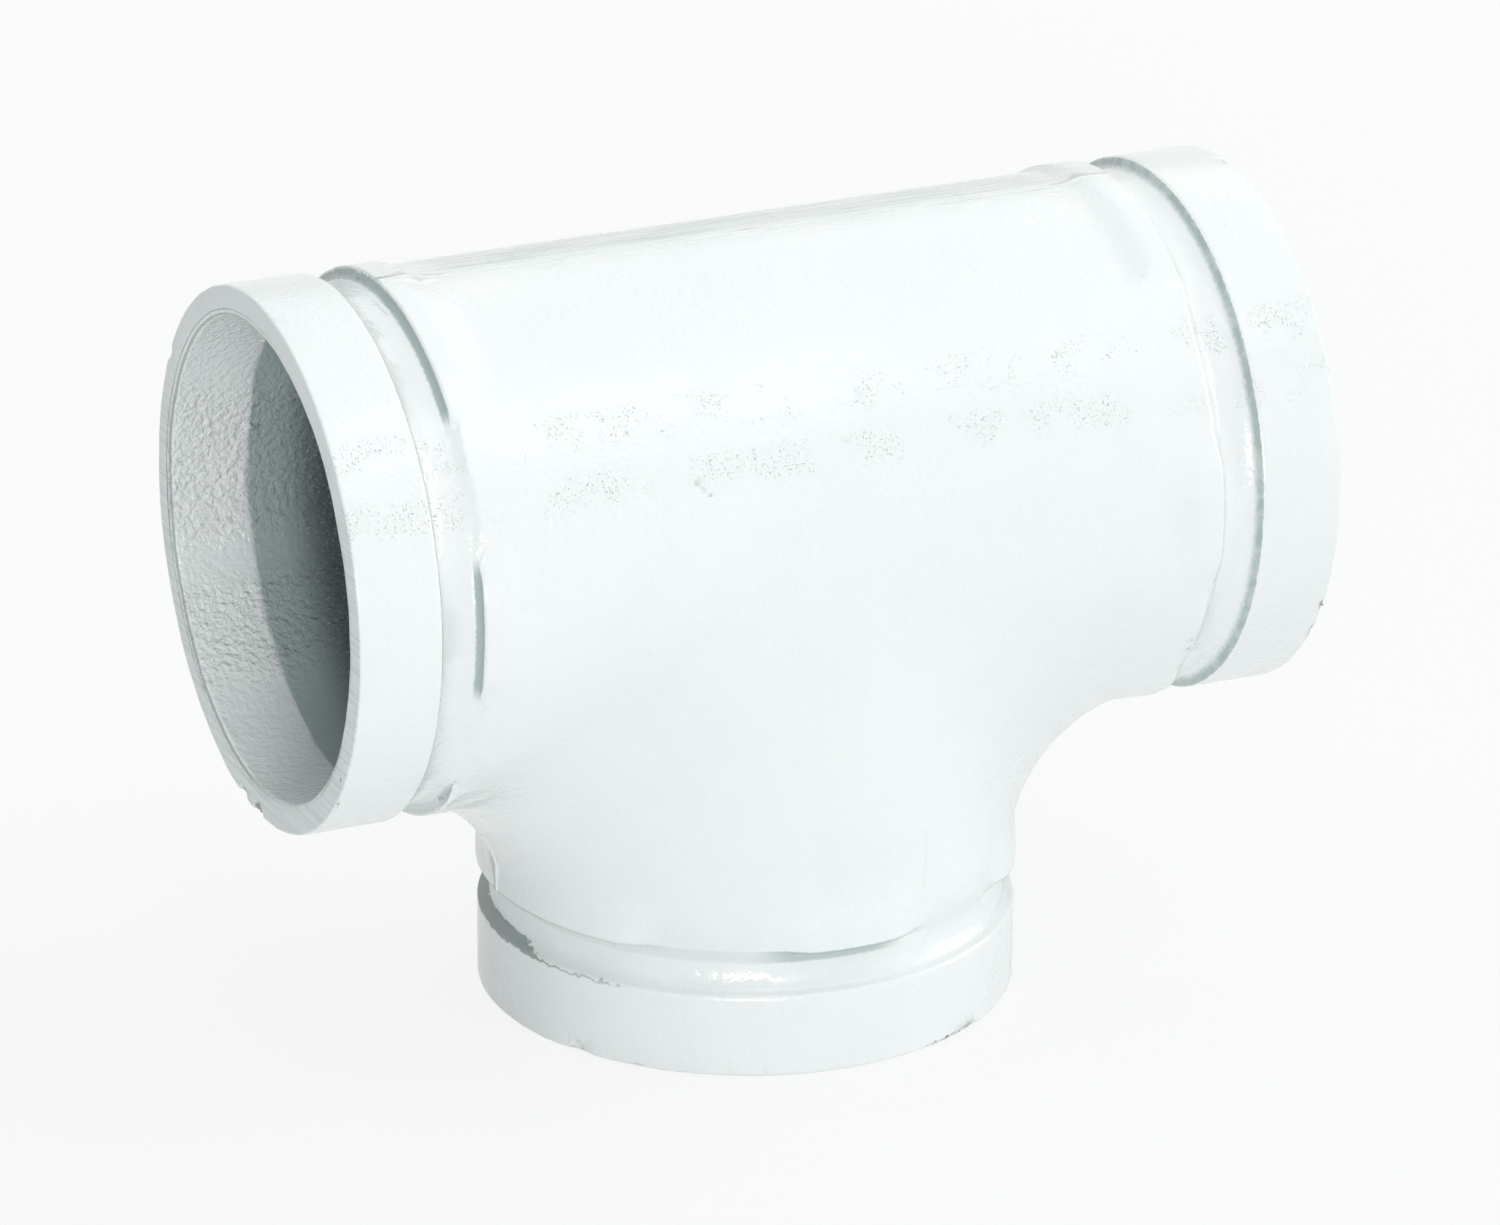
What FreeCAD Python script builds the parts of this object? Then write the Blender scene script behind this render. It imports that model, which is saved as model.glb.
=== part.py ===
# Grooved pipe tee, cast in one piece, for 3 inch pipe. Sizes are in millimetres.
# The tee stands on the end face of its branch: the origin is the centre of that face, +Z runs up the branch,
# the run lies along X at the height centre_to_end, and XZ is the plane where the two halves of the mould met.
import math
import os

import FreeCAD
import Part
import Sketcher

doc = FreeCAD.newDocument("grooved_tee")

# Driving sizes: name, value and what it measures
SIZES = [
    ("pipe_diameter", 88.9, "gasket seats, the outside diameter of the pipe"),
    ("centre_to_end", 85.7, "from the crossing of the axes to each end face"),
    ("seat_width", 13.9, "gasket seat, from the end face to the groove"),
    ("seat_wall_lean", 0.9, "how far the groove's outer wall leans along the axis"),
    ("groove_depth", 1.98, "from the seat down to the groove's floor"),
    ("groove_wall", 3.07, "iron left between the groove's floor and the passage"),
    ("ramp_distance", 20.3, "from the end face to the ramp between the pads"),
    ("ramp_length", 1.8, "ramp from the groove's floor up to the body"),
    ("shoulder_distance", 21.1, "from the end face to the upright wall of the pads"),
    ("foot_round", 1.4, "radius at the foot of that wall"),
    ("body_wall", 4.4, "iron round the passages, between the shoulders"),
    ("branch_inset", 0.3, "how much smaller the branch's radii are than the run's"),
    ("crotch_radius", 23, "blend between the run and the branch, in the crotches"),
    ("cheek_radius", 100, "the same blend on the front and back"),
    ("pad_height", 0.85, "how far the shoulder pads stand out of the run"),
    ("pad_flat", 5.4, "length of a pad's top"),
    ("pad_taper", 3.6, "length over which a pad sinks into the body"),
    ("face_pad_angle", 35, "degrees round the axis, pads on the front and back"),
    ("seam_pad_angle", 93, "degrees round the axis, pads astride the moulding seam"),
    ("seam_width", 1.0, "fettled moulding seam"),
    ("seam_height", 0.2, "how far the seam stands out"),
    ("inner_crotch_radius", 4, "round where the two passages meet"),
    ("edge_round", 0.5, "outer edge of an end face"),
    ("mouth_chamfer", 0.5, "inner edge of an end face"),
]

sheet = doc.addObject("Spreadsheet::Sheet", "Sizes")
for row, (alias, number, meaning) in enumerate(SIZES, start=1):
    sheet.set(f"A{row}", meaning)
    sheet.set(f"B{row}", str(number))
    sheet.setAlias(f"B{row}", alias)
doc.recompute()

# Radii, heights and distances in from an end face, as expressions of the sizes
SEAT = "(Sizes.pipe_diameter / 2)"
FLOOR = f"({SEAT} - Sizes.groove_depth)"
BORE = f"({FLOOR} - Sizes.groove_wall)"
BRANCH_BORE = f"({BORE} - Sizes.branch_inset)"
RUN = f"({BORE} + Sizes.body_wall)"
BRANCH = f"({RUN} - Sizes.branch_inset)"
PAD = f"({RUN} + Sizes.pad_height)"
CENTRE = "Sizes.centre_to_end"
SEAT_END = "Sizes.seat_width"
FLOOR_START = "(Sizes.seat_width + Sizes.seat_wall_lean)"
RAMP_START = "Sizes.ramp_distance"
SHOULDER = "Sizes.shoulder_distance"
PAD_FLAT_END = "(Sizes.shoulder_distance + Sizes.pad_flat)"
PAD_END = "(Sizes.shoulder_distance + Sizes.pad_flat + Sizes.pad_taper)"

# Each end has its own view of the body's planes: x points from its end face inwards, y away from its axis
SIDEWAYS = FreeCAD.Rotation(FreeCAD.Vector(0, 0, 1), 90)
TURNED = FreeCAD.Rotation(FreeCAD.Vector(0, 1, 0), 180)
UNTURNED = FreeCAD.Rotation()
UNMOVED = {}
ENDS = {
    "left": {
        "body": RUN,
        "seam": ("XZ_Plane", UNTURNED, {"x": f"-{CENTRE}", "y": CENTRE}),
        "face": ("XY_Plane", UNTURNED, {"x": f"-{CENTRE}", "z": CENTRE}),
    },
    "right": {
        "body": RUN,
        "seam": ("XZ_Plane", TURNED, {"x": CENTRE, "y": CENTRE}),
        "face": ("XY_Plane", TURNED, {"x": CENTRE, "z": CENTRE}),
    },
    "branch": {
        "body": BRANCH,
        "seam": ("XZ_Plane", SIDEWAYS, UNMOVED),
        "face": ("YZ_Plane", SIDEWAYS, UNMOVED),
    },
}


def sketch_on(body, name, role, rotation, offset):
    """A sketch on one of a body's planes, turned in it and moved by an offset of expressions."""
    sketch = body.newObject("Sketcher::SketchObject", name)
    plane = next(feature for feature in body.Origin.OriginFeatures if feature.Role == role)
    sketch.AttachmentSupport = (plane, [""])
    sketch.MapMode = "FlatFace"
    sketch.AttachmentOffset = FreeCAD.Placement(FreeCAD.Vector(), rotation)
    for axis, expression in offset.items():
        sketch.setExpression(f"AttachmentOffset.Base.{axis}", expression)
    doc.recompute()
    return sketch


def bind(sketch, kind, name, where, expression):
    """A dimension of a sketch that follows an expression of the sizes."""
    value = float(sketch.evalExpression(expression))
    index = sketch.addConstraint(Sketcher.Constraint(kind, *where, value))
    sketch.renameConstraint(index, name)
    sketch.setExpression(f"Constraints.{name}", expression)


def draw_outline(sketch, corners):
    """A closed outline through corners whose coordinates are expressions. A corner with three more of them
    starts an arc instead of a straight line: the arc's centre and its radius."""

    def point(along, across):
        return FreeCAD.Vector(sketch.evalExpression(along), sketch.evalExpression(across), 0)

    places = [point(*corner[:2]) for corner in corners]
    for number, corner in enumerate(corners):
        start = places[number]
        end = places[(number + 1) % len(corners)]
        if len(corner) == 2:
            sketch.addGeometry(Part.LineSegment(start, end), False)
            continue
        centre = point(*corner[2:4])
        outward = ((start + end) / 2 - centre).normalize()
        crown = centre + outward * (start - centre).Length
        sketch.addGeometry(Part.Arc(start, crown, end), False)

    # An arc in a sketch runs anticlockwise, so a corner may be either of its ends
    def side_at(line, place):
        return 1 if (sketch.getPoint(line, 1) - place).Length < 1e-6 else 2

    for number, corner in enumerate(corners):
        before = (number - 1) % len(corners)
        here = (number, side_at(number, places[number]))
        sketch.addConstraint(
            Sketcher.Constraint("Coincident", before, side_at(before, places[number]), *here)
        )
        for kind, axis, expression in zip(("DistanceX", "DistanceY"), (-2, -1), corner[:2]):
            if expression == "0":
                sketch.addConstraint(Sketcher.Constraint("PointOnObject", *here, axis))
            else:
                bind(sketch, kind, f"{kind}{number}", here, expression)
        if len(corner) > 2:
            bind(sketch, "Radius", f"Radius{number}", (number,), corner[4])
    doc.recompute()


def draw_circle(sketch, radius):
    """A circle round the sketch's origin, as four quarter arcs."""
    corners = [(radius, "0"), ("0", radius), (f"-{radius}", "0"), ("0", f"-{radius}")]
    draw_outline(sketch, [(*corner, "0", "0", radius) for corner in corners])


def revolve(kind, name, sketch, angle=None):
    """Turns a sketch about its x axis, all the way or by an angle shared by both sides of its plane."""
    turned = sketch.getParentGeoFeatureGroup().newObject(f"PartDesign::{kind}", name)
    turned.Profile = sketch
    turned.ReferenceAxis = (sketch, ["H_Axis"])
    if angle:
        turned.Midplane = True
        turned.setExpression("Angle", angle)
    doc.recompute()
    return turned


def extrude(name, sketch, length, midplane):
    """Thickens a sketch along its normal, or evenly to both sides of its plane."""
    pad = sketch.getParentGeoFeatureGroup().newObject("PartDesign::Pad", name)
    pad.Profile = sketch
    pad.Midplane = midplane
    pad.setExpression("Length", length)
    doc.recompute()
    return pad


def value(expression):
    """The number that an expression of the sizes stands for now."""
    return float(sheet.evalExpression(expression.replace("Sizes.", "")))


def crossing_edges(shape, run_radius, branch_radius):
    """The edges where a surface about the run's axis meets one about the branch's: their numbers and ends."""
    found = []
    for number, edge in enumerate(shape.Edges, start=1):
        if edge.Degenerated:
            continue
        span = edge.LastParameter - edge.FirstParameter
        samples = [edge.valueAt(edge.FirstParameter + span * share) for share in (0, 0.25, 0.5, 0.75, 1)]
        if all(
            abs(math.hypot(at.y, at.z - sheet.centre_to_end) - run_radius) < 0.01
            and abs(math.hypot(at.x, at.y) - branch_radius) < 0.01
            for at in samples
        ):
            found.append((number, samples[0], samples[-1]))
    if not found:
        raise RuntimeError("the run and the branch don't cross")
    return found


# Barrels: two plain cylinders whose crossing is rounded, tight in the crotches and wide on the cheeks.
# Their quarter arcs split the crossing there, and the radius changes along each piece of it.
barrels = doc.addObject("PartDesign::Body", "barrels")
run_circle = sketch_on(barrels, "run_circle", "YZ_Plane", UNTURNED, {"y": CENTRE})
draw_circle(run_circle, RUN)
run = extrude("run", run_circle, f"2 * {CENTRE}", True)
branch_circle = sketch_on(barrels, "branch_circle", "XY_Plane", UNTURNED, UNMOVED)
draw_circle(branch_circle, BRANCH)
branch = extrude("branch", branch_circle, CENTRE, False)
run.Refine = False
branch.Refine = False
doc.recompute()


def blend_radius(end):
    """The blend's radius at an end of a crossing edge: either in a crotch or on a cheek."""
    return sheet.crotch_radius if abs(end.y) < abs(end.x) else sheet.cheek_radius


crossing = doc.addObject("Part::Fillet", "crossing")
crossing.Base = barrels
crossing.Edges = [
    (number, blend_radius(first), blend_radius(last))
    for number, first, last in crossing_edges(barrels.Shape, value(RUN), value(BRANCH))
]
doc.recompute()

body = doc.addObject("PartDesign::Body", "tee_body")
body.Label = "tee_body"
body.BaseFeature = crossing
doc.recompute()


def groove_section(body_radius):
    """What is cut away round an end: down to the groove's floor, with a ramp that rises past the body."""
    past = "(Sizes.ramp_distance + 2 * Sizes.ramp_length)"
    outside = f"(2 * {body_radius} - {FLOOR})"
    return [("0", FLOOR), (RAMP_START, FLOOR), (past, outside), ("0", outside)]


def seat_section():
    """Gasket seat, from its end face to the groove's outer wall."""
    edge = "Sizes.edge_round"
    return [
        ("0", "0"),
        ("0", f"{SEAT} - {edge}", edge, f"{SEAT} - {edge}", edge),
        (edge, SEAT),
        (SEAT_END, SEAT),
        (FLOOR_START, FLOOR),
        (FLOOR_START, "0"),
    ]


def pad_section():
    """Shoulder pad: an upright wall with a round foot, a flat top, and a taper that sinks into the body."""
    foot = "Sizes.foot_round"
    root = f"({FLOOR} - Sizes.groove_wall / 2)"
    return [
        (f"{SHOULDER} - {foot}", root),
        (f"{SHOULDER} - {foot}", FLOOR, f"{SHOULDER} - {foot}", f"{FLOOR} + {foot}", foot),
        (SHOULDER, f"{FLOOR} + {foot}"),
        (SHOULDER, PAD),
        (PAD_FLAT_END, PAD),
        (PAD_END, FLOOR),
        (PAD_END, root),
    ]


# Ends: each has a seat, a groove, and four pads for the coupling's key to bear on
for end, view in ENDS.items():
    groove_sketch = sketch_on(body, f"{end}_groove_section", *view["seam"])
    draw_outline(groove_sketch, groove_section(view["body"]))
    revolve("Groove", f"{end}_groove", groove_sketch)
    seat_sketch = sketch_on(body, f"{end}_seat_section", *view["seam"])
    draw_outline(seat_sketch, seat_section())
    revolve("Revolution", f"{end}_seat", seat_sketch)
    for side in ("seam", "face"):
        pad_sketch = sketch_on(body, f"{end}_{side}_pad_section", *view[side])
        draw_outline(pad_sketch, pad_section())
        pad = revolve("Revolution", f"{end}_{side}_pad", pad_sketch, f"Sizes.{side}_pad_angle")
        pair = body.newObject("PartDesign::PolarPattern", f"{end}_{side}_pads")
        pair.Originals = [pad]
        pair.Axis = (pad_sketch, ["H_Axis"])
        pair.Angle = 360
        pair.Occurrences = 2
        body.Tip = pair
        doc.recompute()

# Moulding seam: a low ridge on the parting plane, over the top of the run and down through both crotches
REACH = f"({CENTRE} - {SHOULDER})"
PAD_INNER = f"({CENTRE} - {PAD_FLAT_END})"
PAD_FOOT = f"({CENTRE} - {PAD_END})"
OVER_PAD = f"({PAD} + Sizes.seam_height)"
OVER_RUN = f"({RUN} + Sizes.seam_height)"
CROTCH_OUT = f"({BRANCH} + Sizes.crotch_radius)"
CROTCH_DOWN = f"({RUN} + Sizes.crotch_radius)"
CROTCH_SEAM_RADIUS = "(Sizes.crotch_radius - Sizes.seam_height)"
SEAM_OFF_RUN = f"({CROTCH_OUT} - sqrt({CROTCH_SEAM_RADIUS}^2 - ({CROTCH_DOWN} - {OVER_PAD})^2))"
SEAM_OFF_BRANCH = f"({CROTCH_DOWN} - sqrt({CROTCH_SEAM_RADIUS}^2 - ({CROTCH_OUT} - {OVER_PAD})^2))"
TOP_SEAM = [
    (f"-{REACH}", "0"),
    (f"-{REACH}", OVER_PAD),
    (f"-{PAD_INNER}", OVER_PAD),
    (f"-{PAD_FOOT}", OVER_RUN),
    (PAD_FOOT, OVER_RUN),
    (PAD_INNER, OVER_PAD),
    (REACH, OVER_PAD),
    (REACH, "0"),
]
CROTCH_SEAM = [
    ("0", "0"),
    (REACH, "0"),
    (REACH, f"-{OVER_PAD}"),
    (SEAM_OFF_RUN, f"-{OVER_PAD}", CROTCH_OUT, f"-{CROTCH_DOWN}", CROTCH_SEAM_RADIUS),
    (OVER_PAD, f"-{SEAM_OFF_BRANCH}"),
    (OVER_PAD, f"-{REACH}"),
    ("0", f"-{REACH}"),
]
for name, corners, rotation in (
    ("top_seam", TOP_SEAM, UNTURNED),
    ("right_crotch_seam", CROTCH_SEAM, UNTURNED),
    ("left_crotch_seam", CROTCH_SEAM, TURNED),
):
    seam_sketch = sketch_on(body, f"{name}_outline", "XZ_Plane", rotation, {"y": CENTRE})
    draw_outline(seam_sketch, corners)
    extrude(name, seam_sketch, "Sizes.seam_width", True)


def core_section(radius, length, far_mouth):
    """A passage with its mouth's edge broken, at one end or at both."""
    chamfer = "Sizes.mouth_chamfer"
    section = [("0", "0"), ("0", f"{radius} + {chamfer}"), (chamfer, radius)]
    if far_mouth:
        section += [(f"{length} - {chamfer}", radius), (length, f"{radius} + {chamfer}")]
    else:
        section += [(length, radius)]
    return section + [(length, "0")]


# Passages: one straight through the run, one up the branch to meet it
run_core = sketch_on(body, "run_passage_section", *ENDS["left"]["seam"])
draw_outline(run_core, core_section(BORE, f"2 * {CENTRE}", True))
revolve("Groove", "run_passage", run_core)
branch_core = sketch_on(body, "branch_passage_section", *ENDS["branch"]["seam"])
draw_outline(branch_core, core_section(BRANCH_BORE, CENTRE, False))
revolve("Groove", "branch_passage", branch_core)
cored = body.Tip
inner_crotch = body.newObject("PartDesign::Fillet", "inner_crotch")
inner_edges = crossing_edges(cored.Shape, value(BORE), value(BRANCH_BORE))
inner_crotch.Base = (cored, [f"Edge{number}" for number, first, last in inner_edges])
inner_crotch.setExpression("Radius", "Sizes.inner_crotch_radius")
doc.recompute()

# Nothing is written unless every feature is sound and the casting is one whole
for feature in doc.Objects:
    if "Invalid" in feature.State or "Error" in feature.State:
        raise RuntimeError(f"{feature.Name}: {feature.State}")
casting = body.Shape
if casting.isNull() or not casting.isValid() or len(casting.Solids) != 1:
    raise RuntimeError("the casting isn't one valid solid")
print(f"{body.Label}: {casting.Volume / 1000:.1f} cubic centimetres")
os.makedirs("parts", exist_ok=True)
casting.exportStep(f"parts/{body.Label}.step")
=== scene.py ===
import math

import bmesh
import bpy
from mathutils import Euler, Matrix, Vector, kdtree, noise


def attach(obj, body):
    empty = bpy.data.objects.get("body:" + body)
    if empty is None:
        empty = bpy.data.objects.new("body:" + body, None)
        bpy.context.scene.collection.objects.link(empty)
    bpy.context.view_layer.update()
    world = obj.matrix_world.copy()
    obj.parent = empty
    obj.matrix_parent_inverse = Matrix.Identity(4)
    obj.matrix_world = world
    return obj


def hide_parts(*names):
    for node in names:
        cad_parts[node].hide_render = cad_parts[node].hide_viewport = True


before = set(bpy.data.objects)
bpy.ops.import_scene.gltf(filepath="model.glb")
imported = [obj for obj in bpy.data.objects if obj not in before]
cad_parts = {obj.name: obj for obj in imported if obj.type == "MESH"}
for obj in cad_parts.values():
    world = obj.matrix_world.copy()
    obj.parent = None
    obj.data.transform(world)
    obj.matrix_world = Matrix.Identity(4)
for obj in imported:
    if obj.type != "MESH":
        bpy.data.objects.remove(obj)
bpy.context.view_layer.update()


# The casting. Iron poured round a core in a sand mould, so its skin swells and dips a little, no edge of it is
# sharp, and its rims are uneven. It is worked in millimetres and scaled to metres at the end.
TO_MILLIMETRES = 1000
SAME_PLACE = 0.002
CENTRE_TO_END = 85.7
SEAT_RADIUS = 44.45
GROOVE_FLOOR = 42.47
RUN_BARREL = 43.8
BRANCH_BARREL = 43.5

casting_form = bmesh.new()
casting_form.from_mesh(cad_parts["tee_body"].data)
bmesh.ops.scale(casting_form, vec=[TO_MILLIMETRES] * 3, verts=casting_form.verts)
bmesh.ops.remove_doubles(casting_form, verts=casting_form.verts, dist=SAME_PLACE)
wear = casting_form.verts.layers.float.new("wear")


def run_radius(place):
    return math.hypot(place.y, place.z - CENTRE_TO_END)


def branch_radius(place):
    return math.hypot(place.x, place.y)


def depth_from_end(place):
    """How far a point lies in from the nearest end face."""
    return min(CENTRE_TO_END - abs(place.x), place.z)


# A halved edge gets its middle on the round that its two ends lie on. On a blend, and beside a triangle too thin
# to bear the move, the middle stays on the chord.
SLANT_OF_A_TURNED_FACE = 0.03
THINNEST_TO_MOVE = 0.45
LONGEST_IN_THE_CAD = 120


def middle_on_the_round(edge):
    start, end = (vert.co for vert in edge.verts)
    middle = (start + end) / 2
    if min(2 * face.calc_area() / edge.calc_length() for face in edge.link_faces) < THINNEST_TO_MOVE:
        return middle
    outward = sum((face.normal for face in edge.link_faces), Vector()).normalized()
    round_the_run = Vector((0, CENTRE_TO_END - middle.z, middle.y)).normalized()
    round_the_branch = Vector((-middle.y, middle.x, 0)).normalized()
    on_the_branch = middle.z < 50 and branch_radius(middle) < SEAT_RADIUS + 1
    in_the_branch = branch_radius(middle) < GROOVE_FLOOR - 1 and middle.z < CENTRE_TO_END
    if not on_the_branch and abs(outward.dot(round_the_run)) < SLANT_OF_A_TURNED_FACE:
        growth = (run_radius(start) + run_radius(end)) / 2 / run_radius(middle)
        middle.y *= growth
        middle.z = CENTRE_TO_END + (middle.z - CENTRE_TO_END) * growth
    elif (on_the_branch or in_the_branch) and abs(outward.dot(round_the_branch)) < SLANT_OF_A_TURNED_FACE:
        growth = (branch_radius(start) + branch_radius(end)) / 2 / branch_radius(middle)
        middle.x *= growth
        middle.y *= growth
    return middle


def make_triangles():
    many_sided = [face for face in casting_form.faces if len(face.verts) > 3]
    bmesh.ops.triangulate(casting_form, faces=many_sided, quad_method="SHORT_EDGE")
    casting_form.normal_update()


def halve_long_edges(limit, wanted):
    """Halves the wanted edges, the longest first, until none is longer than the limit."""
    longest = limit
    while longest < LONGEST_IN_THE_CAD:
        longest *= 2
    while longest >= limit:
        chosen = [edge for edge in casting_form.edges if edge.calc_length() > longest and wanted(edge)]
        halves = [(edge, tuple(edge.verts), middle_on_the_round(edge)) for edge in chosen]
        bmesh.ops.subdivide_edges(casting_form, edges=chosen, cuts=1)
        for edge, ends, middle in halves:
            new = edge.verts[1] if edge.verts[0] in ends else edge.verts[0]
            new.co = middle
        make_triangles()
        longest /= 2


# The pads' ends, which sink into the ramp between the pads instead of stopping at a step. The pads' foot, wall and
# end are depths in from the fitting's end, and the other limits are degrees away from straight front or back.
PAD_FOOT, PAST_THE_PAD_WALL, PAD_END = 19.65, 21.5, 30.2
FACE_PAD_HALF, SEAM_PAD_START = 17.5, 43.5
FADE, BESIDE_THE_FADE = 9.0, 3
ON_THE_LINE = 0.1
LIP_GAP = 0.06
EDGE_ON_A_PAD, EDGE_ELSEWHERE = 2.4, 6


def smoothstep(value):
    value = min(max(value, 0), 1)
    return value * value * (3 - 2 * value)


def beside_a_pad_end(place):
    """Names the nearest pad end of a point on the pads' band, and gives the point's depth, its radius, and how
    many degrees inside the pad it is."""
    run_depth = CENTRE_TO_END - abs(place.x)
    if PAD_FOOT < run_depth < PAD_END and GROOVE_FLOOR - 0.2 < run_radius(place) < SEAT_RADIUS + 0.3:
        mouth = "right" if place.x > 0 else "left"
        across, depth, radius = place.z - CENTRE_TO_END, run_depth, run_radius(place)
    elif PAD_FOOT < place.z < PAD_END and GROOVE_FLOOR - 0.2 < branch_radius(place) < SEAT_RADIUS + 1.2:
        mouth = "branch"
        across, depth, radius = place.x, place.z, branch_radius(place)
    else:
        return None, 0, 0, -90
    turned = math.degrees(math.atan2(abs(across), abs(place.y)))
    into = max(FACE_PAD_HALF - turned, turned - SEAM_PAD_START)
    return (mouth, across > 0, place.y > 0, turned < 30), depth, radius, into


def set_radius(vert, pad_end, growth):
    vert.co.y *= growth
    if pad_end[0] == "branch":
        vert.co.x *= growth
    else:
        vert.co.z = CENTRE_TO_END + (vert.co.z - CENTRE_TO_END) * growth


# The ramp's own line along each pad end
ramp_lines = {}
for vert in casting_form.verts:
    pad_end, depth, radius, into = beside_a_pad_end(vert.co)
    outside = any(beside_a_pad_end(face.calc_center_median())[3] < -ON_THE_LINE for face in vert.link_faces)
    if pad_end and abs(into) < ON_THE_LINE and outside:
        ramp_lines.setdefault(pad_end, []).append((depth, radius))


def ramp_radius(pad_end, depth):
    line = sorted(ramp_lines[pad_end])
    for (near, low), (far, high) in zip(line, line[1:]):
        if near <= depth <= far and far > near:
            return low + (high - low) * (depth - near) / (far - near)
    return line[0][1] if depth < line[0][0] else line[-1][1]


def merge_lips():
    """Merges the slit's close vertices, in the mesh's own order, so that each run gives the same mesh."""
    lips = [vert for vert in casting_form.verts if vert.is_boundary]
    bmesh.ops.remove_doubles(casting_form, verts=lips, dist=LIP_GAP)


def stands_upright(face):
    return all(abs(beside_a_pad_end(vert.co)[3]) < ON_THE_LINE for vert in face.verts)


# The upright face that closes each pad's end goes, its top edge comes down to the ramp, and the slit is sewn up
upright = [face for face in casting_form.faces if stands_upright(face)]
bmesh.ops.delete(casting_form, geom=upright, context="FACES")
for vert in {vert for edge in casting_form.edges if edge.is_boundary for vert in edge.verts}:
    pad_end, depth, radius, into = beside_a_pad_end(vert.co)
    if pad_end:
        set_radius(vert, pad_end, ramp_radius(pad_end, depth) / radius)
merge_lips()
slit = [edge for edge in casting_form.edges if edge.is_boundary]
stops = {}
for lip in {vert for edge in slit for vert in edge.verts}:
    pad_end, depth = beside_a_pad_end(lip.co)[:2]
    stops.setdefault(pad_end, set()).add(round(depth, 3))
for edge in slit:
    near, far = sorted(edge.verts, key=lambda vert: beside_a_pad_end(vert.co)[1])
    pad_end, start = beside_a_pad_end(near.co)[:2]
    end = beside_a_pad_end(far.co)[1]
    for stop in sorted(stops[pad_end]):
        if start + 0.01 < stop < end - 0.01:
            near = bmesh.utils.edge_split(edge, near, (stop - start) / (end - start))[1]
            set_radius(near, pad_end, ramp_radius(pad_end, stop) / beside_a_pad_end(near.co)[2])
            start = stop
merge_lips()
make_triangles()


def on_the_fade(into):
    return -BESIDE_THE_FADE < into < FADE + BESIDE_THE_FADE


def near_a_pad_end(edge):
    return any(on_the_fade(beside_a_pad_end(vert.co)[3]) for vert in edge.verts)


halve_long_edges(EDGE_ON_A_PAD, near_a_pad_end)
for vert in casting_form.verts:
    pad_end, depth, radius, into = beside_a_pad_end(vert.co)
    if pad_end and 0 < into < FADE:
        ramp = ramp_radius(pad_end, depth)
        set_radius(vert, pad_end, (ramp + (radius - ramp) * smoothstep(into / FADE)) / radius)
casting_form.normal_update()
halve_long_edges(EDGE_ELSEWHERE, lambda edge: True)

# The corners that stand out, as a seat's does over its groove, get a row of close vertices on each side, and are
# then pushed in. Sand can't hold a sharp edge, and a dipped coat rounds it again.
CREASE = math.radians(35)
SEAM_HALF = 0.75
CLOSE_ROW = 0.5
ROUNDING = 0.13

corner = casting_form.verts.layers.float.new("corner")
for edge in casting_form.edges:
    along_the_seam = all(abs(vert.co.y) < SEAM_HALF for vert in edge.verts)
    if edge.is_convex and edge.calc_face_angle(0) > CREASE and not along_the_seam:
        edge.verts[0][corner] = edge.verts[1][corner] = 1


def leads_off_a_corner(edge):
    return (edge.verts[0][corner] == 1) != (edge.verts[1][corner] == 1)


halve_long_edges(CLOSE_ROW, leads_off_a_corner)
pushed = []
for vert in casting_form.verts:
    if vert[corner] == 1:
        sharpest = max(edge.calc_face_angle(0) for edge in vert.link_edges)
        pushed.append((vert, vert.normal * -ROUNDING * min(sharpest, math.pi / 2)))
for vert, push in pushed:
    vert.co += push


def on_a_blend(place):
    proud = min(run_radius(place) - RUN_BARREL, branch_radius(place) - BRANCH_BARREL)
    return proud > 0.02 and abs(place.x) < 64 and PAST_THE_PAD_WALL < place.z < 85 and abs(place.y) > 1.5


def on_a_sinking_pad(place):
    depth, radius, into = beside_a_pad_end(place)[1:]
    return depth > PAST_THE_PAD_WALL and on_the_fade(into)


all_ways = {"use_axis_x": True, "use_axis_y": True, "use_axis_z": True}
for wanted, passes in ((on_a_blend, 3), (on_a_sinking_pad, 10)):
    skin = [vert for vert in casting_form.verts if wanted(vert.co) and vert[corner] == 0]
    for smoothing in range(passes):
        bmesh.ops.smooth_vert(casting_form, verts=skin, factor=0.5, **all_ways)
casting_form.normal_update()


# Nicks, pits and lumps: where each is, how far it reaches, how deep it goes, and how much paint it has lost
EDGE_AT_A_MARK = 0.5
SHOULDER_FOOT = 43.2


def on_the_branch_rim(degrees, height):
    """A point low on the branch's seat, turned so far from the front towards +X."""
    turned = math.radians(degrees)
    return (SEAT_RADIUS * math.sin(turned), -SEAT_RADIUS * math.cos(turned), height)


def on_the_left_shoulder(degrees):
    """A point at the left shoulder's foot, turned so far below the front."""
    turned = math.radians(degrees)
    return (-64.75, -SHOULDER_FOOT * math.cos(turned), CENTRE_TO_END - SHOULDER_FOOT * math.sin(turned))


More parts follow.
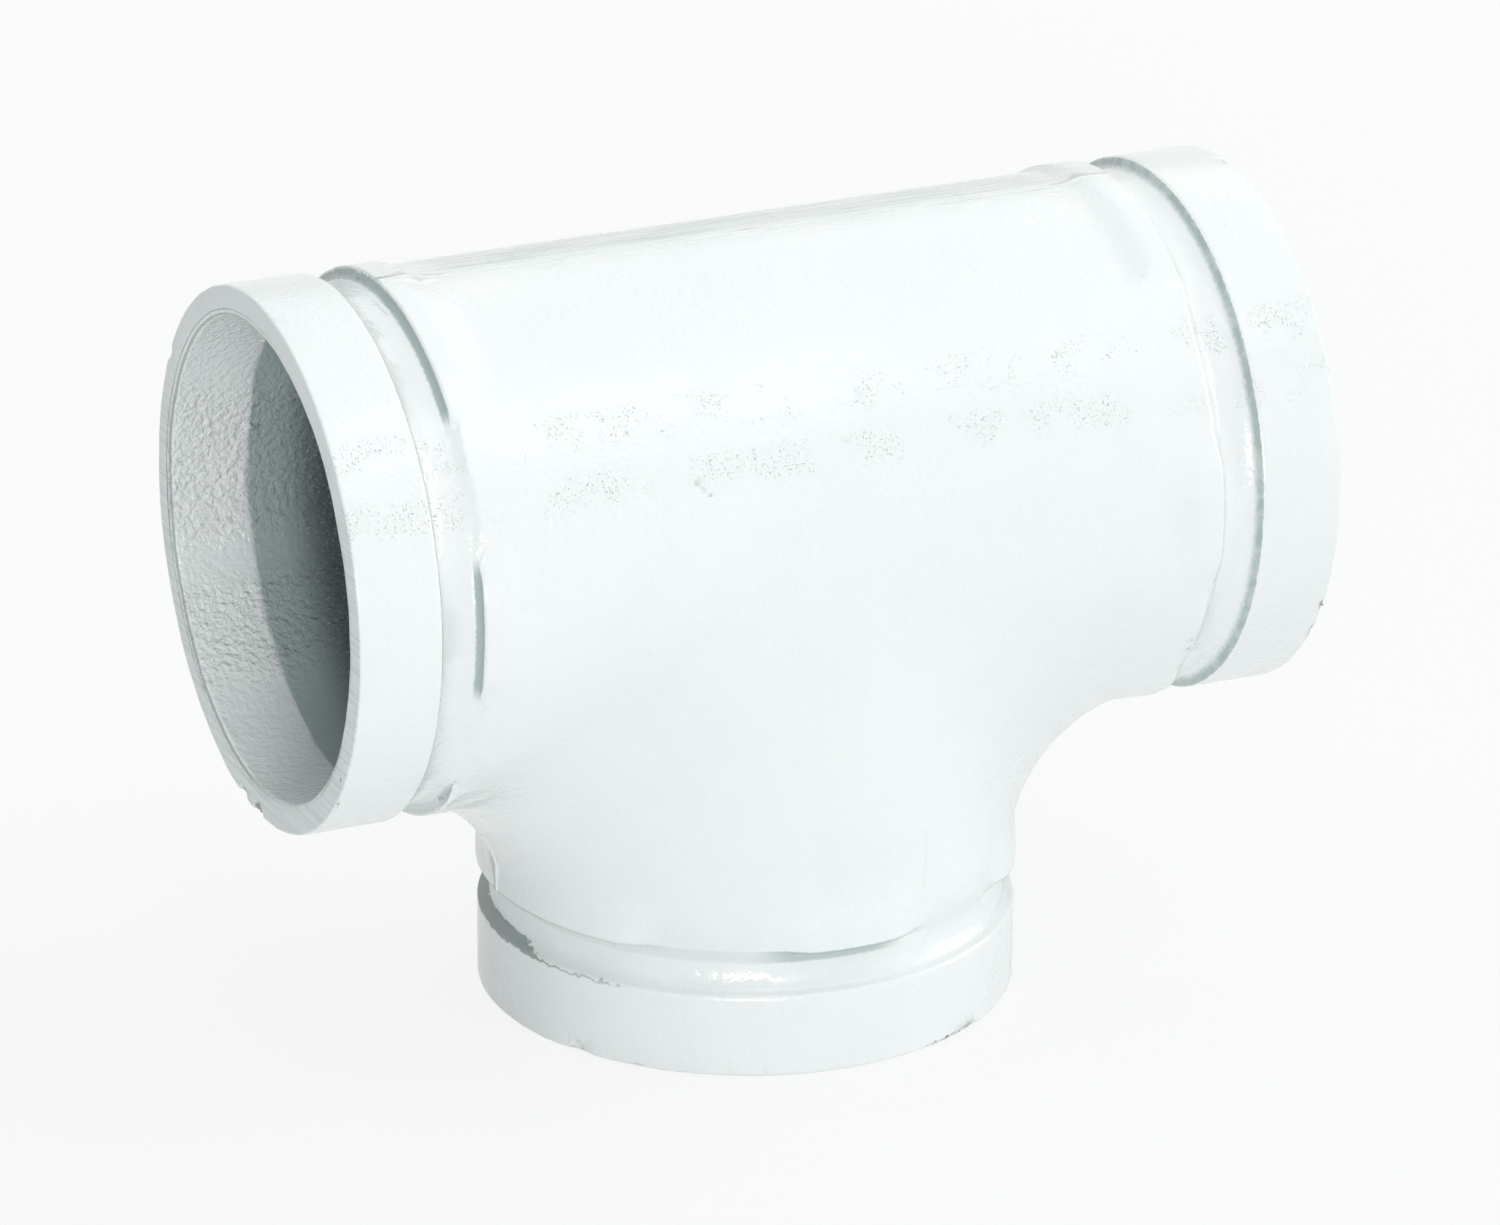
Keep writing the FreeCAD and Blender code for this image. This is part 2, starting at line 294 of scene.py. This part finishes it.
MARKS = [
    ((-85.7, 7.8, 42.0), 2.4, 0.65, 0.5),
    ((-85.7, 1.2, 41.6), 2.6, 0.55, 0.7),
    ((-85.7, 38.2, 108.0), 2.0, 0.35, 0.1),
    ((-85.6, -35.4, 61.4), 0.7, 0.1, 0.6),
    ((-85.2, -33.4, 56.6), 0.6, 0.1, 0.6),
    ((-85.7, -5.6, 126.2), 1.0, 0.15, 0.2),
    ((-85.7, -8.6, 128.9), 1.0, 0.15, 0.2),
    ((-71.4, 38.7, 92.9), 0.9, -0.4, 0.3),
    ((-72.3, 30.2, 110.9), 0.8, -0.3, 0.0),
    ((-26.4, -39.7, 104.1), 1.0, 0.22, 0.45),
    ((-25.6, -40.2, 103.0), 1.0, 0.25, 0.4),
    ((-24.5, -40.7, 102.0), 0.8, 0.2, 0.5),
    (on_the_left_shoulder(45.5), 0.6, 0.05, 0.5),
    (on_the_left_shoulder(46.7), 0.8, 0.08, 0.45),
    (on_the_left_shoulder(47.9), 0.9, 0.08, 0.5),
    (on_the_left_shoulder(49.1), 0.9, 0.1, 0.4),
    (on_the_left_shoulder(50.3), 0.9, 0.08, 0.5),
    (on_the_left_shoulder(51.5), 0.9, 0.08, 0.45),
    (on_the_left_shoulder(52.7), 0.8, 0.1, 0.6),
    (on_the_left_shoulder(54.0), 0.7, 0.05, 0.6),
    ((-60.4, -27.0, 50.4), 4.2, 0.4, 0.15),
    ((-42.4, 2.6, 15.5), 0.5, 0.3, 1.0),
    ((85.7, -39.6, 65.5), 1.8, 0.35, 0.2),
    ((85.7, -36.2, 59.7), 1.6, 0.3, 0.2),
    ((85.2, -0.7, 130.1), 1.6, 0.3, 0.1),
    ((62.2, -42.7, 72.7), 0.8, 0.15, 0.6),
    ((63.3, -43.0, 73.6), 0.7, 0.12, 0.5),
    ((63.3, -33.9, 57.9), 0.7, 0.12, 0.5),
    ((63.2, -35.3, 59.8), 0.6, 0.12, 0.6),
    ((63.0, -36.7, 61.8), 0.7, 0.12, 0.5),
    (on_the_branch_rim(-62, 0.3), 2.2, 0.5, 0.2),
    (on_the_branch_rim(-48, 1.2), 0.6, 0.15, 0.8),
    (on_the_branch_rim(-26, 0.4), 1.6, 0.05, 0.1),
    (on_the_branch_rim(-19.2, 0.75), 0.5, 0.05, 0.5),
    (on_the_branch_rim(20, 0.2), 1.2, 0.2, 0.6),
    (on_the_branch_rim(24, 0.1), 1.3, 0.22, 0.5),
    (on_the_branch_rim(28, 0.2), 1.1, 0.15, 0.5),
    (on_the_branch_rim(32, 0.1), 1.2, 0.2, 0.6),
    (on_the_branch_rim(57, 3.5), 0.7, 0.1, 0.4),
    (on_the_branch_rim(61, 1.1), 0.7, 0.2, 0.8),
]

mark_finder = kdtree.KDTree(len(MARKS))
for number, mark in enumerate(MARKS):
    mark_finder.insert(mark[0], number)
mark_finder.balance()
LONGEST_REACH = max(mark[1] for mark in MARKS)


def marks_near(place, spare=0.0):
    """The marks that reach a point, or come within the spare distance of it, each with its distance."""
    found = mark_finder.find_range(place, LONGEST_REACH + spare)
    return [(MARKS[number], away) for centre, number, away in found if away < MARKS[number][1] + spare]


halve_long_edges(EDGE_AT_A_MARK, lambda edge: marks_near((edge.verts[0].co + edge.verts[1].co) / 2, 0.3))

# The cast skin's swell, the rims' raggedness and the marks, all as moves along the skin's own normal
moves = []
for vert in casting_form.verts:
    place = vert.co
    outer_rim = depth_from_end(place) < 1 and min(run_radius(place), branch_radius(place)) > SEAT_RADIUS - 0.8
    passage = min(run_radius(place), branch_radius(place)) < GROOVE_FLOOR - 2
    lift = 0.09 * noise.noise(place / 19) + 0.035 * noise.noise(place / 6)
    if passage:
        lift = 0.16 * noise.noise(place / 13) + 0.08 * noise.noise(place / 4)
    if outer_rim:
        lift -= 0.16 * abs(noise.noise(place / 5)) + 0.05 * noise.noise(place / 1.7)
    for (centre, reach, depth, loss), away in marks_near(place):
        near = 1 - away / reach
        lift -= depth * smoothstep(near * 1.4) * (1 + 0.5 * noise.noise(place / 0.6))
        vert[wear] = max(vert[wear], loss * smoothstep(near * 2))
    moves.append(vert.normal * lift)
for vert, move in zip(casting_form.verts, moves):
    vert.co += move
    vert.co.x = min(max(vert.co.x, -CENTRE_TO_END), CENTRE_TO_END)
    vert.co.z = max(vert.co.z, 0)

bmesh.ops.scale(casting_form, vec=[1 / TO_MILLIMETRES] * 3, verts=casting_form.verts)
casting_mesh = bpy.data.meshes.new("casting")
casting_form.to_mesh(casting_mesh)
casting_form.free()
casting_mesh.shade_smooth()
casting_mesh.set_sharp_from_angle(angle=math.radians(60))
casting = bpy.data.objects.new("casting", casting_mesh)
bpy.context.scene.collection.objects.link(casting)


# Its finish. A dipped coat of gloss white, with orange peel, that reaches a finger's width into each mouth;
# beyond that the passages are bare, dark iron, painted darker still further in as painted shade. The end faces are
# ground, so the coat there is thin and streaked.
PAINT = (0.845, 0.867, 0.864, 1)
DULLER_PAINT = (0.825, 0.853, 0.85, 1)
THIN_PAINT = (0.7, 0.755, 0.75, 1)
BARE_IRON = (0.38, 0.445, 0.445, 1)
# Painted glints on the bare iron
PAINTED_GLINT = (0.42, 0.47, 0.47, 1)
# The bare iron deep in the passages, painted darker as painted shade
IRON_IN_PAINTED_SHADE = (0.09, 0.112, 0.115, 1)
# Painted shade for the walls of the grooves and pads
WALL_SHADE = (0.37, 0.445, 0.435, 1)
# Grey of the top strip's streaks and painted shade, and of the painted speckle along the run
STREAK_AND_SHADE_GREY = (0.52, 0.585, 0.575, 1)
# Dark grey for worn spots and for the line on the chamfer inside each rim's back half
DARK_GREY = (0.27, 0.315, 0.305, 1)
PAINT_REACH = 13.6
PASSAGE_LIMIT = 40.7
RELIEF = 0.00011


def put(tree, kind, feeds, **options):
    """Adds a node, sets its options, and feeds its inputs with numbers, colours or other nodes' sockets."""
    added = tree.nodes.new(kind)
    for option, choice in options.items():
        setattr(added, option, choice)
    for socket, feed in feeds.items():
        if isinstance(feed, bpy.types.NodeSocket):
            tree.links.new(feed, added.inputs[socket])
        else:
            added.inputs[socket].default_value = feed
    return added.outputs


white_paint = bpy.data.materials.new("white_paint")
white_paint.use_nodes = True
paint = white_paint.node_tree


def reckon(operation, first, second=0.0):
    return put(paint, "ShaderNodeMath", {0: first, 1: second}, operation=operation)[0]


def times(first, *others):
    for other in others:
        first = reckon("MULTIPLY", first, other)
    return first


def vector(operation, first, second=(0, 0, 0)):
    return put(paint, "ShaderNodeVectorMath", {0: first, 1: second}, operation=operation)


def fade(value, nothing, all_of_it):
    """Rises smoothly from 0 to 1 as the value goes from one limit to the other."""
    feeds = {"Value": value, "From Min": nothing, "From Max": all_of_it}
    return put(paint, "ShaderNodeMapRange", feeds, interpolation_type="SMOOTHSTEP")[0]


def fade_degrees(value, nothing, all_of_it):
    return fade(value, math.radians(nothing), math.radians(all_of_it))


def grain(place, size, detail=2.0):
    """Noise between 0 and 1, with lumps of about the given size in millimetres."""
    feeds = {"Vector": place, "Scale": 1 / size, "Detail": detail}
    return put(paint, "ShaderNodeTexNoise", feeds)["Fac"]


def wander(size, detail, reach):
    """Noise about 0 that spans the given reach."""
    return times(reckon("SUBTRACT", grain(place, size, detail), 0.5), reach)


def blend(share, first, second):
    feeds = {"Factor": share, 6: first, 7: second}
    return put(paint, "ShaderNodeMix", feeds, data_type="RGBA")[2]


def blend_numbers(share, first, second):
    feeds = {"Factor": share, 2: first, 3: second}
    return put(paint, "ShaderNodeMix", feeds, data_type="FLOAT")[0]


metres = put(paint, "ShaderNodeTexCoord", {})["Object"]
place = put(paint, "ShaderNodeVectorMath", {0: metres, "Scale": TO_MILLIMETRES}, operation="SCALE")[0]
x, y, z = put(paint, "ShaderNodeSeparateXYZ", {0: place})
towards_the_front = times(y, -1)
over_the_axis = reckon("SUBTRACT", z, CENTRE_TO_END)
across_the_run = vector("SUBTRACT", vector("MULTIPLY", place, (0, 1, 1))[0], (0, 0, CENTRE_TO_END))[0]
from_run = vector("LENGTH", across_the_run)["Value"]
from_branch = vector("LENGTH", vector("MULTIPLY", place, (1, 1, 0))[0])["Value"]
run_depth = reckon("SUBTRACT", CENTRE_TO_END, reckon("ABSOLUTE", x))
round_the_run = reckon("ARCTAN2", over_the_axis, towards_the_front)
round_the_branch = reckon("ARCTAN2", x, towards_the_front)

# Where the coat ends inside the mouths
ragged = wander(9, 5, 2.2)


def beyond_the_coat(from_axis, depth):
    inside = fade(from_axis, PASSAGE_LIMIT, PASSAGE_LIMIT - 0.2)
    return times(inside, fade(reckon("ADD", depth, ragged), PAINT_REACH - 0.6, PAINT_REACH + 0.9))


in_run = beyond_the_coat(from_run, run_depth)
in_branch = times(beyond_the_coat(from_branch, z), fade(z, CENTRE_TO_END, CENTRE_TO_END - 0.5))
unpainted = reckon("MAXIMUM", in_run, in_branch)

# The ground end faces, streaked on a slant
ground = fade(reckon("MINIMUM", run_depth, z), 0.35, 0.15)
slant = {"Vector": place, "Rotation": (math.radians(37), 0, 0), "Scale": (0.04, 0.03, 2.6)}
streaks = grain(put(paint, "ShaderNodeMapping", slant)[0], 1, 3)

# The streaked strip along the top, behind the moulding seam: its streaks are the ground skin's, its darker tone is
# painted shade
strip = times(fade(y, 1.6, 2.2), fade(y, 18, 11), fade(z, 120, 126), fade(run_depth, 27, 37))
along = {"Vector": place, "Scale": (0.07, 1.4, 1.0)}
drag = grain(put(paint, "ShaderNodeMapping", along)[0], 1, 4)

# The side wall of the branch's groove, where the dip didn't cling: broad on the left, then a thin line
wall_wander = wander(1.6, 4, 1.6)
wall_height = reckon("ADD", z, wall_wander)
narrowing = {"Value": round_the_branch, "From Min": -1.45, "From Max": -1.25, "To Min": 15.2, "To Max": 13.95}
wall_top = put(paint, "ShaderNodeMapRange", narrowing)[0]
angle_wander = reckon("ADD", round_the_branch, times(wall_wander, 0.25))
bare_wall = times(
    fade(wall_height, 13.35, 13.6),
    fade(reckon("SUBTRACT", wall_top, wall_height), 0.0, 0.25),
    fade(from_branch, GROOVE_FLOOR - 0.9, GROOVE_FLOOR - 0.6),
    fade_degrees(angle_wander, -48, -56),
    blend_numbers(fade(round_the_branch, -1.25, -1.1), 1.0, 0.7),
    fade_degrees(angle_wander, -140, -125),
)

# Painted shade on the walls of the run's grooves and of the left end's pads, where little light falls
wall_grain = wander(0.8, 4, 0.35)


def band(value, start, end, soft=0.1, softer_end=0.1):
    """1 between two limits, with soft edges that wander a little."""
    wandering = reckon("ADD", value, wall_grain)
    return times(fade(wandering, start, start + soft), fade(wandering, end, end - softer_end))


patchiness = blend_numbers(fade(grain(place, 2.5, 3), 0.35, 0.6), 0.7, 1.0)
seat_wall_shade = times(band(run_depth, 13.9, 14.95, 0.1, 0.6), fade(from_run, 44.42, 44.3), patchiness)
turned_from_flat = reckon("ARCTAN2", reckon("ABSOLUTE", over_the_axis), reckon("ABSOLUTE", y))
on_a_face_pad = fade_degrees(turned_from_flat, 17, 12)
on_a_seam_pad = fade_degrees(turned_from_flat, 44, 49)
pad_wall_shade = times(
    band(run_depth, 20.0, 21.3, 0.5),
    band(from_run, 42.4, 44.35, 0.3, 0.3),
    blend_numbers(fade(z, 66, 56), 1.0, 0.45),
    fade(x, 10, -10),
    reckon("MAXIMUM", on_a_face_pad, on_a_seam_pad),
)
# A painted shadow on the branch's groove floor, under its pads
shadow_under_the_branch_pads = times(
    band(z, 18.9, 21.7, 0.6, 0.4),
    band(from_branch, 41.5, 44.8),
    blend_numbers(fade(round_the_branch, -0.42, -0.22), 0.18, 0.75),
    fade(round_the_branch, 0.24, 0.08),
)
# The painted shade on the walls and the painted shadow under the branch pads, together
walls = reckon("MAXIMUM", reckon("MAXIMUM", seat_wall_shade, pad_wall_shade), shadow_under_the_branch_pads)

# A dark line inside each rim, painted speckle of broken reflection in two bands along the run, and the marks
inner_rim = times(
    fade(from_run, 39.98, 39.88),
    fade(from_run, 39.5, 39.65),
    fade(run_depth, 0.75, 0.55),
    fade(y, -12, 8),
)
# Dark specks painted in two bands where the gloss coat's reflection of the lamps breaks up; they are also pressed
# into the relief as pits
upper_speckle_band = times(fade_degrees(round_the_run, 33, 37), fade_degrees(round_the_run, 46, 42))
lower_speckle_band = times(fade_degrees(round_the_run, 21, 25), fade_degrees(round_the_run, 32, 29))
speckle_bands = times(reckon("MAXIMUM", upper_speckle_band, lower_speckle_band), fade(grain(place, 7, 3), 0.46, 0.6))
pits_and_painted_speckle = times(speckle_bands, fade(grain(place, 0.36, 2), 0.6, 0.7))
worn = put(paint, "ShaderNodeAttribute", {}, attribute_name="wear")["Fac"]
lost = reckon("MAXIMUM", fade(reckon("ADD", worn, wander(0.7, 3, 0.5)), 0.25, 0.75), bare_wall)

tone = blend(fade(grain(place, 22, 3), 0.35, 0.7), PAINT, DULLER_PAINT)
# The ground faces' coat is thin and streaked; it fades out towards their tops, a painted highlight that leaves
# them lighter there
tone = blend(times(ground, fade(z, 118, 90), fade(streaks, 0.46, 0.62)), tone, THIN_PAINT)
tone = blend(times(strip, blend_numbers(fade(drag, 0.42, 0.62), 0.15, 0.65)), tone, STREAK_AND_SHADE_GREY)
for share, mask, colour in (
    (0.9, walls, WALL_SHADE),
    (0.55, pits_and_painted_speckle, STREAK_AND_SHADE_GREY),
    (0.7, inner_rim, DARK_GREY),
    (0.9, lost, DARK_GREY),
):
    tone = blend(times(mask, share), tone, colour)
# The bare iron is painted darker further into the passages, as painted shade
iron = blend(fade(run_depth, 18, 28), BARE_IRON, IRON_IN_PAINTED_SHADE)
# Bright specks on the bare iron: painted glints
iron = blend(times(fade(grain(place, 0.45, 2), 0.56, 0.72), 0.5), iron, PAINTED_GLINT)

dullness = blend_numbers(grain(place, 5, 2), 0.16, 0.28)
dullness = blend_numbers(reckon("MAXIMUM", ground, lost), dullness, 0.5)
dullness = blend_numbers(unpainted, dullness, 0.62)

# Orange peel outside. Inside the mouths the coat is hammered, most of all in two broad bands.
mouth = fade(from_run, PASSAGE_LIMIT, PASSAGE_LIMIT - 0.3)
upper_band = times(fade(z, 71, 78), fade(z, 106, 97))
lower_band = times(fade(z, 52, 58), fade(z, 70, 65))
hammered = blend_numbers(reckon("MAXIMUM", upper_band, lower_band), 3.5, 10)
patchy = fade(grain(place, 14, 2), 0.4, 0.65)
peel = reckon("SUBTRACT", times(grain(place, 1.1, 2), blend_numbers(patchy, 0.8, 1.7)), pits_and_painted_speckle)
for lumps in (
    times(mouth, grain(place, 1.15, 2), hammered),
    times(ground, streaks, 0.8),
    times(strip, drag, 1.2),
):
    peel = reckon("ADD", peel, lumps)

paint_shader = paint.nodes["Principled BSDF"]
paint.links.new(blend(unpainted, tone, iron), paint_shader.inputs["Base Color"])
paint.links.new(dullness, paint_shader.inputs["Roughness"])
relief = put(paint, "ShaderNodeBump", {"Height": peel, "Distance": RELIEF, "Strength": 1.0})[0]
paint.links.new(relief, paint_shader.inputs["Normal"])
casting_mesh.materials.append(white_paint)

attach(casting, "root")
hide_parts("tee_body")


# The floor. A wide sheet of white studio paper, which keeps the tee's soft shadow.
PAPER = (0.76, 0.775, 0.775, 1)
FLOOR_RADIUS = 6
GLOW_BY_THE_TEE, GLOW_FAR_OUT = 0.82, 1.0

floor_form = bmesh.new()
bmesh.ops.create_circle(floor_form, cap_ends=True, segments=96, radius=FLOOR_RADIUS)
floor_mesh = bpy.data.meshes.new("floor")
floor_form.to_mesh(floor_mesh)
floor_form.free()
floor = bpy.data.objects.new("floor", floor_mesh)
bpy.context.scene.collection.objects.link(floor)


def seen_directly(tree):
    """1 for what the camera sees, straight or in a reflection or through glass, and 0 for light on the tee."""
    path = put(tree, "ShaderNodeLightPath", {})
    seen = path["Is Camera Ray"]
    for ray in ("Is Glossy Ray", "Is Transmission Ray"):
        seen = put(tree, "ShaderNodeMath", {0: seen, 1: path[ray]}, operation="MAXIMUM")[0]
    return seen


studio_paper = bpy.data.materials.new("studio_paper")
studio_paper.use_nodes = True
paper = studio_paper.node_tree
paper_shader = paper.nodes["Principled BSDF"]
paper_shader.inputs["Base Color"].default_value = PAPER
paper_shader.inputs["Roughness"].default_value = 0.9
paper_place = put(paper, "ShaderNodeTexCoord", {})["Object"]
out_from_the_tee = put(paper, "ShaderNodeVectorMath", {0: paper_place}, operation="LENGTH")["Value"]
growth = {"From Min": 0.3, "From Max": 1.5, "To Min": GLOW_BY_THE_TEE, "To Max": GLOW_FAR_OUT}
glow_share = put(paper, "ShaderNodeMapRange", {"Value": out_from_the_tee, **growth})[0]
paper_glow = put(paper, "ShaderNodeEmission", {"Color": (1, 1, 1, 1), "Strength": 1.0})[0]
seen_glow = put(paper, "ShaderNodeMath", {0: seen_directly(paper), 1: glow_share}, operation="MULTIPLY")[0]
paper_mix = put(paper, "ShaderNodeMixShader", {0: seen_glow, 1: paper_shader.outputs[0], 2: paper_glow})[0]
paper.links.new(paper_mix, paper.nodes["Material Output"].inputs["Surface"])
floor_mesh.materials.append(studio_paper)


# The studio. A pale room whose walls are seen as white, a wide soft lamp overhead and behind, a smaller one high
# in front, one on the right, and a low strip beside the camera that reaches into the mouth.
ROOM_LIGHT = (0.86, 1.0, 0.99, 1)
ROOM_STRENGTH = 0.24

studio = bpy.data.worlds.new("studio")
studio.use_nodes = True
room = studio.node_tree
room_light = room.nodes["Background"]
room_light.inputs["Color"].default_value = ROOM_LIGHT
room_light.inputs["Strength"].default_value = ROOM_STRENGTH
white_wall = put(room, "ShaderNodeBackground", {"Color": (1, 1, 1, 1), "Strength": 1.0})[0]
room_mix = put(room, "ShaderNodeMixShader", {0: seen_directly(room), 1: room_light.outputs[0], 2: white_wall})[0]
room.links.new(room_mix, room.nodes["World Output"].inputs["Surface"])
bpy.context.scene.world = studio
bpy.context.scene.view_settings.view_transform = "Standard"


def soft_lamp(name, centre, aim, size, watts):
    light = bpy.data.lights.new(name, "AREA")
    light.shape = "RECTANGLE"
    light.size, light.size_y = size
    light.energy = watts
    lamp = bpy.data.objects.new(name, light)
    lamp.location = centre
    lamp.rotation_euler = (Vector(aim) - Vector(centre)).to_track_quat("-Z", "Y").to_euler()
    bpy.context.scene.collection.objects.link(lamp)


TEE_MIDDLE = (0, 0, 0.08)
soft_lamp("overhead_lamp", (0.15, 0.55, 1.15), TEE_MIDDLE, (2.2, 1.7), 12.2)
soft_lamp("high_front_lamp", (0.1, -0.7, 1.3), TEE_MIDDLE, (1.2, 0.8), 5.3)
soft_lamp("right_lamp", (1.4, -0.25, 0.5), TEE_MIDDLE, (0.8, 0.8), 8.6)
soft_lamp("low_front_lamp", (-0.58, -1.46, 0.18), TEE_MIDDLE, (0.65, 0.3), 10.6)


# The camera. A long lens in front and to the left, at the photograph's angle and framing.
CAMERA_PLACE = (-0.5989, -1.3447, 0.6582)
CAMERA_AZIMUTH = math.radians(-24.027)
CAMERA_ELEVATION = math.radians(22.011)
CAMERA_ROLL = math.radians(0.3134)
SENSOR_WIDTH = 36
LENS = 232.7

lens = bpy.data.cameras.new("camera")
lens.sensor_width = SENSOR_WIDTH
lens.sensor_fit = "HORIZONTAL"
lens.lens = LENS
lens.clip_end = 50
camera = bpy.data.objects.new("camera", lens)
camera.location = CAMERA_PLACE
level = Euler((math.pi / 2 - CAMERA_ELEVATION, 0, CAMERA_AZIMUTH), "XYZ").to_matrix()
camera.rotation_euler = (level @ Euler((0, 0, CAMERA_ROLL)).to_matrix()).to_euler()
bpy.context.scene.collection.objects.link(camera)
bpy.context.scene.camera = camera
